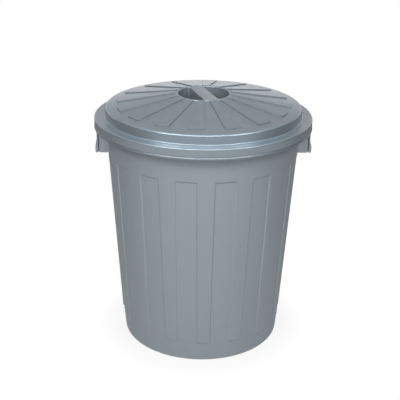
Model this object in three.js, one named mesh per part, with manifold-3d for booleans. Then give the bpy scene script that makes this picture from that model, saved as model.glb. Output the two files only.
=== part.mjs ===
// A round household dustbin with a lift-off lid, both moulded in grey plastic.
// The tapered tub has shallow upright flutes, a turned-over rim and two hand grips under it.
// The lid is a shallow cone with raised radial panels and a grip well crossed by a hollow bar.
// Millimetres, +Z up, origin on the ground at the centre of the base, hand grips on the X axis.

import * as THREE from "three";
import { mergeVertices } from "three/addons/utils/BufferGeometryUtils.js";
import Module from "manifold-3d";

const wasm = await Module();
wasm.setup();

// Tub body: radius at the ground, then how far each zone of the wall rises and leans out.
const baseRadius = 168.3;
const footBandHeight = 44.8;
const footBandFlare = 5.9;
const fluteLength = 365;
const fluteFlare = 22.4;
const collarHeight = 73.5;
const tubWall = 2.6;

// Tub foot: the floor is lifted inside a flat ring that stands on the ground.
const floorLift = 4;
const footRingWidth = 15;
const footRound = 3;
const floorRound = 9;

// Flutes of the tub: sunk strips of one width between ribs that narrow downwards.
const fluteDepth = 2;
const fluteWidth = 44.4;
const fluteSlope = 2.4;

// Rim of the tub: turned out flat, then down as a skirt.
const rimReach = 16.4;
const rimWall = 2.4;
const rimSkirtDrop = 15.3;
const rimRound = 2;

// Lid edge: flange on the rim and a band hanging loosely round it.
const lidWall = 2.4;
const lidClearance = 3.3;
const seatGap = 0.3;
const flangeWidth = 22.9;
const flangeRound = 3;
const bandDrop = 19;
const bandBead = 0.5;
const bandBeadHeight = 4;

// Hand grips: shelf, two end plates and a lip that flares at its lower edge.
// Waist and flare are heights above the lower edge; the slot beside the lip is closed at its back.
const gripClearance = 1.2;
const gripWidth = 98;
const gripHeight = 45.4;
const gripWall = 2.4;
const gripLipWall = 2.2;
const gripLipBow = 1.2;
const gripLipFlare = 3.3;
const gripFlareRise = 9;
const gripWaistRise = 29;
const gripEdgeRound = 3;
const gripSlotWidth = 2.5;
const gripSlotDepth = 6;

// Top of the lid: upright plateau wall, rounded shoulder and shallow cone up to the well.
const plateauDraft = 0.6;
const plateauFootRound = 2.5;
const shoulderHeight = 21;
const shoulderRound = 4.5;
const coneRise = 23.9;
const lidTurnDegrees = 16.3;

// Raised panels of the lid, wider towards the edge, with a steep wall round each.
// The hollow under a panel is smaller than the panel by the inset on every side.
const panelRise = 1.8;
const panelSlope = 0.4;
const panelInset = 1.6;
const panelInnerMargin = 4.6;
const panelOuterMargin = 20.7;
const panelInnerWidth = 14.5;
const panelOuterWidth = 32;

// Grip well of the lid and the bar that crosses it.
const wellRadius = 52.6;
const wellDraft = 2;
const wellDepth = 38;
const wellLipWidth = 4.8;
const wellLipRise = 1.1;
const barWidth = 28.9;
const barDraft = 2.1;

// Counts and steps of the faceted curves.
const patternCount = 16;
const patternColumns = 6;
const filletSteps = 2;
const lipCurveSteps = 6;
const lipBowSteps = 6;

const halfShare = 0.5;
const fullTurn = 2 * Math.PI;

// Where those sizes put the parts that meet each other.
const ribFootRadius = baseRadius + footBandFlare;
const ribTopRadius = ribFootRadius + fluteFlare;
const ribTopHeight = footBandHeight + fluteLength;
const rimTopHeight = ribTopHeight + collarHeight;
const ribFace = taper(corner(ribFootRadius, footBandHeight), corner(ribTopRadius, ribTopHeight));
const rimOuterRadius = ribFace(rimTopHeight) + rimReach;
const seatHeight = rimTopHeight + seatGap;
const bandRadius = rimOuterRadius + lidClearance + lidWall;
const plateauFootRadius = bandRadius - flangeWidth;
const shoulderRadius = plateauFootRadius - plateauDraft;
const coneTopRadius = wellRadius + wellLipWidth;
const coneTopHeight = shoulderHeight + coneRise;
const wellLipHeight = coneTopHeight + wellLipRise;
const gripTopHeight = seatHeight - bandDrop - gripClearance;
const gripBottomHeight = gripTopHeight - gripHeight;

// Profile point, with the length that a rounding takes from both sides of it.
function corner(r, z, round = 0) {
  return { r, z, round };
}

// Profile point on a fluted or panelled stretch, shifted inside each panel or only at its lips.
function edge(r, z, shifted, inset = 0) {
  return { r, z, shifted, inset };
}

// Height-to-radius line through two profile points, used for tapered walls.
function taper(low, high) {
  return (z) => THREE.MathUtils.mapLinear(z, low.z, high.z, low.r, high.r);
}

// Replaces each corner that has a rounding by a short curve.
function smoothProfile(points) {
  const at = (point) => new THREE.Vector2(point.r, point.z);
  return points.flatMap((point, index) => {
    if (!point.round) return [point];
    const here = at(point);
    const cut = (other) => here.clone().add(at(other).sub(here).setLength(point.round));
    const start = cut(points[index - 1]);
    const end = cut(points[index + 1]);
    const curve = new THREE.QuadraticBezierCurve(start, here, end);
    return curve.getPoints(filletSteps).map((p) => corner(p.x, p.y));
  });
}

// The columns of one panel: middle of the land beside it, lip, floor from edge to edge, lip.
// A panel keeps its own width at every radius; off the panelled stretch the columns are even.
function panelColumns(point, panel) {
  const pitch = fullTurn / patternCount;
  if (point.shifted === undefined) {
    const even = (_, column) => ({ angle: pitch * (column / patternColumns - halfShare) });
    return Array.from({ length: patternColumns }, even);
  }
  const reach = panel.width(point.r) * halfShare - point.inset;
  const lip = Math.asin(reach / point.r);
  const foot = Math.asin((reach - panel.slope) / point.r);
  const floor = [-foot, 0, foot].map((angle) => ({ angle, shifts: point.shifted }));
  return [{ angle: -pitch * halfShare }, { angle: -lip }, ...floor, { angle: lip }];
}

// Revolves a profile and shifts a ring of equal panels in or out of it, on both faces alike.
function revolve(profile, panel) {
  const points = smoothProfile(profile);
  const outline = points.map((point) => new THREE.Vector2(point.r, point.z));
  const turns = patternCount * patternColumns;
  const geometry = new THREE.LatheGeometry(outline, turns);
  const position = geometry.attributes.position;
  for (let vertex = 0; vertex < position.count; vertex++) {
    const point = points[vertex % points.length];
    const turn = Math.floor(vertex / points.length) % turns;
    const column = panelColumns(point, panel)[turn % patternColumns];
    const pitches = Math.floor(turn / patternColumns) + panel.phase;
    const angle = pitches * fullTurn / patternCount + column.angle;
    const shift = column.shifts ? panel.shift : { r: 0, z: 0 };
    const radius = point.r + shift.r;
    position.setXYZ(vertex, radius * Math.sin(angle), -radius * Math.cos(angle), point.z + shift.z);
  }
  return toSolid(geometry);
}

// Closed three.js geometry to a solid; collapsed triangles on the axis are left out.
function toSolid(source) {
  const geometry = source.clone();
  geometry.deleteAttribute("normal");
  geometry.deleteAttribute("uv");
  const merged = mergeVertices(geometry, mergeDistance());
  const indices = Array.from(merged.index.array);
  const kept = [];
  for (let i = 0; i < indices.length; i += 3) {
    const [a, b, c] = indices.slice(i, i + 3);
    if (a !== b && b !== c && c !== a) kept.push(a, b, c);
  }
  const vertProperties = new Float32Array(merged.attributes.position.array);
  const mesh = new wasm.Mesh({ numProp: 3, vertProperties, triVerts: new Uint32Array(kept) });
  return new wasm.Manifold(mesh);
}

// Points closer than this share of the wall are one point.
function mergeDistance() {
  const wallShare = 0.0004;
  return tubWall * wallShare;
}

// Solid to an indexed geometry for a mesh.
function toGeometry(solid) {
  const mesh = solid.getMesh();
  const geometry = new THREE.BufferGeometry();
  geometry.setAttribute("position", new THREE.BufferAttribute(mesh.vertProperties, mesh.numProp));
  geometry.setIndex(new THREE.BufferAttribute(mesh.triVerts, 1));
  geometry.computeVertexNormals();
  return geometry;
}

// Outline in the XZ plane, extruded along Y and centred on it.
function acrossY(shape, width, steps = 1) {
  const options = { depth: width, steps, bevelEnabled: false, curveSegments: lipCurveSteps };
  const geometry = new THREE.ExtrudeGeometry(shape, options);
  geometry.rotateX(Math.PI / 2);
  geometry.translate(0, width * halfShare, 0);
  return geometry;
}

// Outline in the XY plane, extruded upwards between two heights.
function upright(shape, low, high) {
  const geometry = new THREE.ExtrudeGeometry(shape, { depth: high - low, bevelEnabled: false });
  geometry.translate(0, 0, low);
  return toSolid(geometry);
}

function polygon(points) {
  return new THREE.Shape(points.map(([x, y]) => new THREE.Vector2(x, y)));
}

// Cone frustum about Z.
function frustum(lowRadius, highRadius, low, high) {
  const sides = patternCount * patternColumns;
  const geometry = new THREE.CylinderGeometry(highRadius, lowRadius, high - low, sides);
  geometry.rotateX(Math.PI / 2);
  geometry.translate(0, 0, THREE.MathUtils.lerp(low, high, halfShare));
  return toSolid(geometry);
}

// Tapered block along Y, centred on the axis.
function taperedBlock(lowWidth, highWidth, length, low, high) {
  const foot = lowWidth * halfShare;
  const crest = highWidth * halfShare;
  return toSolid(acrossY(polygon([[-foot, low], [foot, low], [crest, high], [-crest, high]]), length));
}

// Tub shell in one profile: floor, foot ring, outside, rim with its skirt, inside.
function tubShell() {
  const fluteFoot = corner(ribFootRadius - fluteDepth, footBandHeight);
  const bandFace = taper(corner(baseRadius, 0), fluteFoot);
  const footOuter = baseRadius - footRound;
  const ribFootLow = footBandHeight - fluteSlope;
  const ribTopLow = ribTopHeight - fluteSlope;
  const rimUnder = rimTopHeight - rimWall;
  const skirtFoot = rimTopHeight - rimSkirtDrop;
  const floorTop = floorLift + tubWall;
  const inner = (r) => r - tubWall;
  const profile = [
    corner(0, floorLift),
    corner(footOuter - footRingWidth, floorLift),
    corner(footOuter - footRingWidth + floorLift * halfShare, 0),
    corner(baseRadius, 0, footRound),
    edge(bandFace(ribFootLow), ribFootLow, false),
    edge(ribFootRadius, footBandHeight, true),
    edge(ribFace(ribTopLow), ribTopLow, true),
    edge(ribTopRadius, ribTopHeight, false),
    corner(ribFace(rimUnder), rimUnder, rimRound),
    corner(rimOuterRadius - rimWall, rimUnder, rimRound),
    corner(rimOuterRadius - rimWall, skirtFoot),
    corner(rimOuterRadius, skirtFoot),
    corner(rimOuterRadius, rimTopHeight, rimRound),
    corner(inner(ribFace(rimTopHeight)), rimTopHeight, rimRound),
    edge(inner(ribTopRadius), ribTopHeight, false),
    edge(inner(ribFace(ribTopLow)), ribTopLow, true),
    edge(inner(ribFootRadius), footBandHeight, true),
    edge(inner(bandFace(ribFootLow)), ribFootLow, false),
    corner(inner(bandFace(floorTop)), floorTop, floorRound),
    corner(0, floorTop),
  ];
  const width = () => fluteWidth;
  const shift = { r: -fluteDepth, z: 0 };
  return revolve(profile, { width, slope: fluteSlope, shift, phase: halfShare });
}

// Upright lip of a grip: its section, stretched along Y and bowed outwards in the middle.
function gripLip() {
  const innerFace = rimOuterRadius - gripLipBow - gripLipWall;
  const outerFace = innerFace + gripLipWall;
  const flareFace = outerFace + gripLipFlare;
  const waist = gripBottomHeight + gripWaistRise;
  const flare = gripBottomHeight + gripFlareRise;
  const swing = THREE.MathUtils.lerp(flare, waist, halfShare);
  const section = new THREE.Shape();
  section.moveTo(innerFace, gripTopHeight);
  section.lineTo(innerFace, gripBottomHeight);
  section.lineTo(flareFace - gripEdgeRound, gripBottomHeight);
  section.quadraticCurveTo(flareFace, gripBottomHeight, flareFace, flare);
  section.bezierCurveTo(flareFace, swing, outerFace, swing, outerFace, waist);
  section.lineTo(outerFace, gripTopHeight);
  const geometry = acrossY(section, gripWidth, lipBowSteps);
  const position = geometry.attributes.position;
  for (let i = 0; i < position.count; i++) {
    const across = position.getY(i) / (gripWidth * halfShare);
    position.setX(i, position.getX(i) + gripLipBow * (1 - across * across));
  }
  return { solid: toSolid(geometry), innerFace, middle: innerFace + gripLipWall * halfShare };
}

// End plate of a grip, on the side of +1 or -1: flush out to the slot, then set back to the lip.
function endPlate(inside, lip, side) {
  const front = gripWidth * halfShare;
  const back = front - gripSlotDepth;
  const slotInner = lip.innerFace - gripSlotWidth;
  const outline = [
    [inside, front], [slotInner, front], [slotInner, back], [lip.middle, back],
    [lip.middle, back - gripWall], [slotInner - gripWall, back - gripWall],
    [slotInner - gripWall, front - gripWall], [inside, front - gripWall],
  ];
  const plate = polygon(outline.map(([x, y]) => [x, y * side]));
  return upright(plate, gripBottomHeight, gripTopHeight - gripWall * halfShare);
}

// Hand grip on the +X side, cut to meet the tub inside the thickness of its wall.
function handGrip() {
  const lip = gripLip();
  const inside = ribTopRadius - gripWidth * halfShare;
  const shelfUnder = gripTopHeight - gripWall;
  const shelf = toSolid(acrossY(polygon([
    [inside, shelfUnder], [lip.middle, shelfUnder], [lip.middle, gripTopHeight], [inside, gripTopHeight],
  ]), gripWidth));
  const plates = [1, -1].map((side) => endPlate(inside, lip, side));
  const midWall = (z) => ribFace(z) - tubWall * halfShare;
  const low = gripBottomHeight - gripWall;
  const high = gripTopHeight + gripWall;
  const tubCore = frustum(midWall(low), midWall(high), low, high);
  return lip.solid.add(shelf).add(plates[0]).add(plates[1]).subtract(tubCore);
}

function tubSolid() {
  const grip = handGrip();
  return tubShell().add(grip).add(grip.rotate([0, 0, 180]));
}

// Lid skin in one profile: underside outwards, then the band, flange, plateau wall and cone.
function lidSkin() {
  const coneFace = (r) => THREE.MathUtils.mapLinear(
    r, shoulderRadius, coneTopRadius, shoulderHeight, coneTopHeight);
  const lipTop = wellLipHeight;
  const panelInnerRadius = coneTopRadius + panelInnerMargin;
  const panelOuterRadius = shoulderRadius - panelOuterMargin;
  const under = (r, shifted) => edge(r, coneFace(r) - lidWall, shifted, panelInset);
  const over = (r, shifted) => edge(r, coneFace(r), shifted);
  const hollowInner = panelInnerRadius + panelInset;
  const hollowOuter = panelOuterRadius - panelInset;
  const beadTop = bandBeadHeight - bandDrop;
  const profile = [
    corner(0, lipTop - lidWall),
    corner(wellRadius, lipTop - lidWall),
    under(hollowInner, false),
    under(hollowInner + panelSlope, true),
    under(hollowOuter - panelSlope, true),
    under(hollowOuter, false),
    corner(shoulderRadius - lidWall, shoulderHeight - lidWall, shoulderRound - lidWall),
    corner(plateauFootRadius - lidWall, 0),
    corner(bandRadius - lidWall, 0, flangeRound - lidWall),
    corner(bandRadius - lidWall, -bandDrop),
    corner(bandRadius, -bandDrop),
    corner(bandRadius + bandBead, bandBead - bandDrop),
    corner(bandRadius + bandBead, beadTop - bandBead),
    corner(bandRadius, beadTop),
    corner(bandRadius, lidWall, flangeRound),
    corner(plateauFootRadius, lidWall, plateauFootRound),
    corner(shoulderRadius, shoulderHeight, shoulderRound),
    over(panelOuterRadius, false),
    over(panelOuterRadius - panelSlope, true),
    over(panelInnerRadius + panelSlope, true),
    over(panelInnerRadius, false),
    corner(coneTopRadius, coneTopHeight, wellLipRise * halfShare),
    corner(coneTopRadius - wellLipRise, lipTop, wellLipRise * halfShare),
    corner(0, lipTop),
  ];
  const width = (r) => THREE.MathUtils.mapLinear(
    r, panelInnerRadius, panelOuterRadius, panelInnerWidth, panelOuterWidth);
  const shift = { r: 0, z: panelRise };
  return revolve(profile, { width, slope: panelSlope, shift, phase: 0 });
}

// Two D-shaped finger pockets, walled and floored, with the open channel of the bar between.
function lidSolid() {
  const top = wellLipHeight;
  const skin = top - lidWall;
  const midSkin = top - lidWall * halfShare;
  const floor = top - wellDepth;
  const beyond = lidWall + lidWall;
  const footRadius = wellRadius - wellDraft;
  const length = 2 * (wellRadius + beyond);
  const bar = (thinner, low, high) => taperedBlock(
    barWidth + barDraft - thinner, barWidth - thinner, length, low, high);
  const walls = frustum(footRadius + lidWall, wellRadius + lidWall, floor - lidWall, midSkin);
  const channel = bar(beyond, floor - beyond, skin);
  const pockets = frustum(footRadius, wellRadius, floor, midSkin)
    .add(frustum(wellRadius, wellRadius, midSkin, top + lidWall))
    .subtract(bar(0, floor - lidWall, top).add(bar(0, skin, top + beyond)));
  return lidSkin().add(walls.subtract(channel)).subtract(pockets);
}

// Pigmented, slightly glossy moulded plastic.
function greyPlastic() {
  return new THREE.MeshStandardMaterial({ color: 0x8b9298, roughness: 0.38, metalness: 0.25 });
}

function tub() {
  const mesh = new THREE.Mesh(toGeometry(tubSolid()), greyPlastic());
  mesh.name = "tub";
  return mesh;
}

function lid() {
  const mesh = new THREE.Mesh(toGeometry(lidSolid()), greyPlastic());
  mesh.name = "lid";
  mesh.position.z = seatHeight;
  mesh.rotation.z = THREE.MathUtils.degToRad(lidTurnDegrees);
  return mesh;
}

const dustbin = new THREE.Group();
dustbin.add(tub(), lid());

export default dustbin;
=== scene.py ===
"""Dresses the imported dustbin: smooth moulded shells, pigmented plastic and a plain studio."""

import logging
import math
from dataclasses import dataclass, replace
from enum import Enum
from typing import Callable, Iterable, Sequence

import bmesh
import bpy
from mathutils import Matrix, Vector
from mathutils.geometry import tessellate_polygon


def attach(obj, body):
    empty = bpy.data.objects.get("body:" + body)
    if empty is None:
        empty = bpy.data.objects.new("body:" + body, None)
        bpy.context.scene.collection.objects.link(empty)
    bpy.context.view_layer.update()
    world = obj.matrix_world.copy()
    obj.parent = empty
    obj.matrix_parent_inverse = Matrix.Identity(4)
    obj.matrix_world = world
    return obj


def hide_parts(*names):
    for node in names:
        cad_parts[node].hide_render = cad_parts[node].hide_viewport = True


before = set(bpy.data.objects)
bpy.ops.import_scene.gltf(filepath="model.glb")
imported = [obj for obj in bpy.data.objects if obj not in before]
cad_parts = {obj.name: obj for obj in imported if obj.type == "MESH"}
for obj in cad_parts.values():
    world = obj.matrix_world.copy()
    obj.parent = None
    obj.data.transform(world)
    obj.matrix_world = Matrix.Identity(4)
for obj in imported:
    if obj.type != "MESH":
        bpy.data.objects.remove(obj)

logging.basicConfig(level=logging.INFO, format="%(message)s")
log = logging.getLogger("dustbin")

MM = 0.001
QUARTER = math.pi / 2.0
MEAN = 0.5  # the mean of a noise
# Name of the mesh attribute that marks where painted shade darkens the lid: panel walls and pocket floors and
# walls.
SHADE_MARK = "painted_shade_mark"
WHITE = (1.0, 1.0, 1.0, 1.0)
Point = tuple[float, float, float]
Colour = tuple[float, float, float]


class Body(Enum):
    """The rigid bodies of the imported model."""

    TUB = "tub_body"
    LID = "lid_body"


class Slot(Enum):
    """The record's material slots."""

    TUB = "tub_plastic"
    LID = "lid_plastic"


def lerp(a: float, b: float, t: float) -> float:
    """Straight blend from a to b."""
    return a + (b - a) * t


def shares(first: int, count: int) -> list[float]:
    """The shares of a whole from step first to step count."""
    return [step / count for step in range(first, count + 1)]


def arc(x: float, y: float, radius: float, first: float, last: float, steps: int) -> list[tuple[float, float]]:
    """Points round a centre from one turn up to another, which is left out."""
    turns = [lerp(first, last, t) for t in shares(0, steps)[:-1]]
    return [(x + radius * math.cos(turn), y + radius * math.sin(turn)) for turn in turns]


@dataclass(frozen=True)
class Pattern:
    """A fractal noise: its cells to the metre, octaves and distortion."""

    cells: float
    detail: float = 2.0
    warp: float = 0.0


class Value:
    """A shader socket that adds Math nodes when it is used in Python arithmetic."""

    def __init__(self, graph: "Graph", socket: bpy.types.NodeSocket) -> None:
        """Wraps one output socket of a graph that new nodes go into."""
        self.graph = graph
        self.socket = socket

    def _math(self, operation: str, *operands: "Value | float") -> "Value":
        """One Math node over the operands."""
        return self.graph.node("ShaderNodeMath", {"operation": operation}, dict(enumerate(operands)))

    def __add__(self, other: "Value | float") -> "Value":
        """Sum."""
        return self._math("ADD", self, other)

    def __sub__(self, other: "Value | float") -> "Value":
        """Difference."""
        return self._math("SUBTRACT", self, other)

    def __mul__(self, other: "Value | float") -> "Value":
        """Product."""
        return self._math("MULTIPLY", self, other)

    def __rsub__(self, other: float) -> "Value":
        """A number less this value."""
        return self._math("SUBTRACT", other, self)

    __radd__ = __add__
    __rmul__ = __mul__

    def __abs__(self) -> "Value":
        """Distance from zero."""
        return self._math("ABSOLUTE", self)

    def ramp(self, low: float, high: float) -> "Value":
        """0 at low, 1 at high, smooth and clamped between; low may be above high.

        Args:
            low: The value that gives 0.
            high: The value that gives 1.

        Returns:
            The mapped value.
        """
        settings = {"interpolation_type": "SMOOTHSTEP"}
        if low <= high:
            return self.graph.node("ShaderNodeMapRange", settings, {0: self, 1: low, 2: high})
        return 1.0 - self.ramp(high, low)


class Graph:
    """Adds nodes to one material's or world's tree."""

    def __init__(self, tree: bpy.types.NodeTree) -> None:
        """Starts with an empty tree."""
        self.tree = tree
        self.tree.nodes.clear()

    def node(
        self, kind: str, settings: dict | None = None, inputs: dict | None = None, output: int | str = 0
    ) -> Value:
        """Adds one node.

        Args:
            kind: The node's type.
            settings: Properties of the node, set first.
            inputs: Numbers, colours or Values by socket name or index.
            output: The output socket to return, by name or index.

        Returns:
            The chosen output.
        """
        made = self.tree.nodes.new(kind)
        for key, value in (settings or {}).items():
            setattr(made, key, value)
        for key, value in (inputs or {}).items():
            if isinstance(value, Value):
                self.tree.links.new(value.socket, made.inputs[key])
            else:
                made.inputs[key].default_value = value
        return Value(self, made.outputs[output] if made.outputs else None)

    def part(self, vector: Value, axis: str) -> Value:
        """One part of a vector, by the name of its axis."""
        return self.node("ShaderNodeSeparateXYZ", {}, {0: vector}, axis)

    def noise(self, place: Value, look: Pattern) -> Value:
        """Fractal noise from 0 to 1."""
        inputs = {"Vector": place, "Scale": look.cells, "Detail": look.detail, "Distortion": look.warp}
        return self.node("ShaderNodeTexNoise", {"noise_dimensions": "3D"}, inputs, "Fac")

    def mix_colour(self, share: Value | float, a: object, b: object) -> Value:
        """Colour a where share is 0, b where it is 1."""
        settings = {"data_type": "RGBA", "blend_type": "MIX"}
        return self.node("ShaderNodeMix", settings, {0: share, 6: a, 7: b}, 2)

    def stretch(self, place: Value, scale: Point) -> Value:
        """Scales a position along each axis."""
        return self.node("ShaderNodeVectorMath", {"operation": "MULTIPLY"}, {0: place, 1: scale})


def rgba(colour: Iterable[float], factor: float = 1.0) -> tuple[float, ...]:
    """A colour times a factor, as four numbers."""
    return (*(min(1.0, channel * factor) for channel in colour), 1.0)


@dataclass(frozen=True)
class MouldedPlastic:
    """Polypropylene with a fine metallic pigment, straight from a polished mould.

    Where a field's name ends so, tone is what a pattern adds to the colour's place between dark
    and pale, rough what it adds to the roughness, share how much of it shows, and patches and
    slope are the values at which it starts and is full.

    Attributes:
        colour: Linear colour of the pigment.
        metallic: Share of the pigment that mirrors.
        draw: Stretch of the flow marks, in cells to the metre along X, Y and Z.
        coat: Strength of the clear skin.
        painted_edge_shade: Strength of the painted shade on the marked points, the panels' walls and the pockets,
            which also makes them rougher and less shiny.
        painted_shade_dark: Share of the colour that the painted shade leaves.
        scratch_pale: Factor on the colour inside a scratch.
        scratch_foot: How much more of the scratches shows at the foot, up to foot_reach metres.
    """

    name: str
    colour: Colour
    roughness: float
    metallic: float
    draw: Point
    coat: float = 0.3
    coat_roughness: float = 0.16
    painted_edge_shade: float = 0.0
    painted_shade_dark: float = 0.2
    edge_rough: float = 0.5
    refraction: float = 1.49
    tone_spread: float = 0.1
    flakes: Pattern = Pattern(2600.0, 1.0)
    flake_tone: float = 0.5
    clouds: Pattern = Pattern(9.0, 3.0)
    cloud_tone: float = 0.22
    cloud_rough: float = 0.06
    flow: Pattern = Pattern(1.0, 4.0, 0.4)
    flow_tone: float = 0.14
    flow_rough: float = 0.07
    scratch: Pattern = Pattern(26.0, 2.0, 2.5)
    scratch_patch: Pattern = Pattern(14.0, 1.0)
    scratch_squash: Point = (1.0, 1.0, 3.0)
    scratch_width: float = 0.006
    scratch_patches: tuple[float, float] = (0.5, 0.7)
    scratch_pale: float = 1.7
    scratch_share: float = 0.10
    scratch_foot: float = 0.45
    scratch_rough: float = 0.07
    foot_reach: float = 0.03
    dust: Pattern = Pattern(60.0, 5.0)
    dust_colour: Colour = (0.62, 0.6, 0.57)
    dust_slope: tuple[float, float] = (0.6, 1.0)
    dust_patches: tuple[float, float] = (0.45, 0.75)
    dust_share: float = 0.05
    dust_rough: float = 0.05
    grain: Pattern = Pattern(1500.0, 2.0)
    grain_share: float = 0.7
    grain_strength: float = 0.35
    grain_depth: float = 0.00002

    def material(self) -> bpy.types.Material:
        """Builds the material.

        Returns:
            The finished material.
        """
        made = bpy.data.materials.new(self.name)
        made.use_nodes = True
        g = Graph(made.node_tree)
        place = g.node("ShaderNodeTexCoord", output="Object")
        up = g.part(g.node("ShaderNodeNewGeometry", output="Normal"), "Z")
        flake = g.noise(place, self.flakes)
        cloud = g.noise(place, self.clouds) - MEAN
        flow = g.noise(g.stretch(place, self.draw), self.flow) - MEAN
        scratch = self.scratches(g, place)
        foot = g.part(place, "Z").ramp(self.foot_reach, 0.0)
        dust = up.ramp(*self.dust_slope) * g.noise(place, self.dust).ramp(*self.dust_patches)
        tone = (flake - MEAN) * self.flake_tone + cloud * self.cloud_tone + flow * self.flow_tone + MEAN
        dark, pale = (rgba(self.colour, 1.0 + spread) for spread in (-self.tone_spread, self.tone_spread))
        worn = scratch * (self.scratch_share + self.scratch_foot * foot)
        shown = g.mix_colour(worn, g.mix_colour(tone, dark, pale), rgba(self.colour, self.scratch_pale))
        shown = g.mix_colour(dust * self.dust_share, shown, rgba(self.dust_colour))
        gloss = self.roughness + flow * self.flow_rough + cloud * self.cloud_rough
        gloss = gloss + scratch * self.scratch_rough + dust * self.dust_rough
        shine: Value | float = 1.0
        # Painted shade: marked panel walls and pockets get a darker colour, more roughness and less metallic
        # shine and coat.
        if self.painted_edge_shade:
            edge = g.node("ShaderNodeAttribute", {"attribute_name": SHADE_MARK}, {}, "Fac") * self.painted_edge_shade
            shown = g.mix_colour(edge, shown, rgba(self.colour, self.painted_shade_dark))
            gloss = gloss + edge * self.edge_rough
            shine = 1.0 - edge
        grain = g.noise(place, self.grain) * self.grain_share + flake * (1.0 - self.grain_share)
        bump = g.node("ShaderNodeBump", {}, {
            "Strength": self.grain_strength, "Distance": self.grain_depth, "Height": grain,
        })
        shader = g.node("ShaderNodeBsdfPrincipled", {}, {
            "Base Color": shown, "Roughness": gloss, "Metallic": self.metallic * shine, "Normal": bump,
            "IOR": self.refraction, "Coat Weight": self.coat * shine, "Coat Roughness": self.coat_roughness,
            "Coat IOR": self.refraction,
        })
        g.node("ShaderNodeOutputMaterial", {}, {"Surface": shader})
        return made

    def scratches(self, g: Graph, place: Value) -> Value:
        """Fine hair scratches: thin lines where a warped noise crosses its mean, in patches.

        Args:
            g: The material's graph.
            place: The position on the surface.

        Returns:
            1 on a scratch, 0 beside it.
        """
        crossing = abs(g.noise(g.stretch(place, self.scratch_squash), self.scratch) - MEAN)
        line = crossing.ramp(self.scratch_width, 0.0)
        return line * g.noise(place, self.scratch_patch).ramp(*self.scratch_patches)


TUB_PLASTIC = MouldedPlastic(
    "tub_plastic", colour=(0.306, 0.346, 0.378), roughness=0.42, metallic=0.5, draw=(55.0, 55.0, 3.0))
LID_PLASTIC = MouldedPlastic(
    "lid_plastic", colour=(0.276, 0.318, 0.350), roughness=0.32, metallic=0.6, draw=(30.0, 30.0, 30.0),
    coat=0.1, coat_roughness=0.22, painted_edge_shade=0.55)


@dataclass(frozen=True)
class Corner:
    """A profile point in millimetres.

    Attributes:
        r: Distance from the axis.
        z: Height.
        rounding: Length that the rounding takes on both sides.
        sunk: Share of the depth that the point takes inside a panel.
        edge: Share of the painted shade of a panel's wall that it takes there.
    """

    r: float
    z: float
    rounding: float = 0.0
    sunk: float = 0.0
    edge: float = 0.0


@dataclass(frozen=True)
class Wall:
    """The section of a panel's wall: a straight slope between roundings, each a share of its width."""

    rounding: float

    def steps(self) -> tuple[float, ...]:
        """Shares of the width at which the section has points."""
        w = self.rounding
        return (0.0, w * 0.5, w, 0.5, 1.0 - w, 1.0 - w * 0.5, 1.0)

    def rise(self, t: float) -> float:
        """How high the wall has risen.

        Args:
            t: Share of the width.

        Returns:
            Share of the depth.
        """
        w = self.rounding
        if t > 0.5:
            return 1.0 - self.rise(1.0 - t)
        return t * t / (2.0 * w * (1.0 - w)) if t < w else (t - w / 2.0) / (1.0 - w)


SOFT_WALL = Wall(0.4)
CRISP_WALL = Wall(0.05)


@dataclass(frozen=True)
class Profile:
    """An open profile with rounded corners and, that far from each, guard points that keep the flats flat."""

    corners: tuple[Corner, ...]
    steps: int = 6
    guard: float = 0.7

    def points(self) -> list[Corner]:
        """The profile as a fine polyline.

        Returns:
            Points without roundings.
        """
        out: list[Corner] = []
        last = len(self.corners) - 1
        for index, here in enumerate(self.corners):
            if not here.rounding or index in (0, last):
                out.append(here)
                continue
            before = self.toward(here, self.corners[index - 1], here.rounding)
            after = self.toward(here, self.corners[index + 1], here.rounding)
            out.append(self.toward(before, self.corners[index - 1], self.guard))
            for t in shares(0, self.steps):
                r = lerp(lerp(before.r, here.r, t), lerp(here.r, after.r, t), t)
                z = lerp(lerp(before.z, here.z, t), lerp(here.z, after.z, t), t)
                out.append(Corner(r, z, 0.0, here.sunk))
            out.append(self.toward(after, self.corners[index + 1], self.guard))
        return out

    @staticmethod
    def toward(here: Corner, other: Corner, length: float) -> Corner:
        """The point that far from one point towards another, or halfway if that is near."""
        t = min(0.5, length / math.hypot(other.r - here.r, other.z - here.z))
        return Corner(lerp(here.r, other.r, t), lerp(here.z, other.z, t), 0.0, lerp(here.sunk, other.sunk, t))


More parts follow.
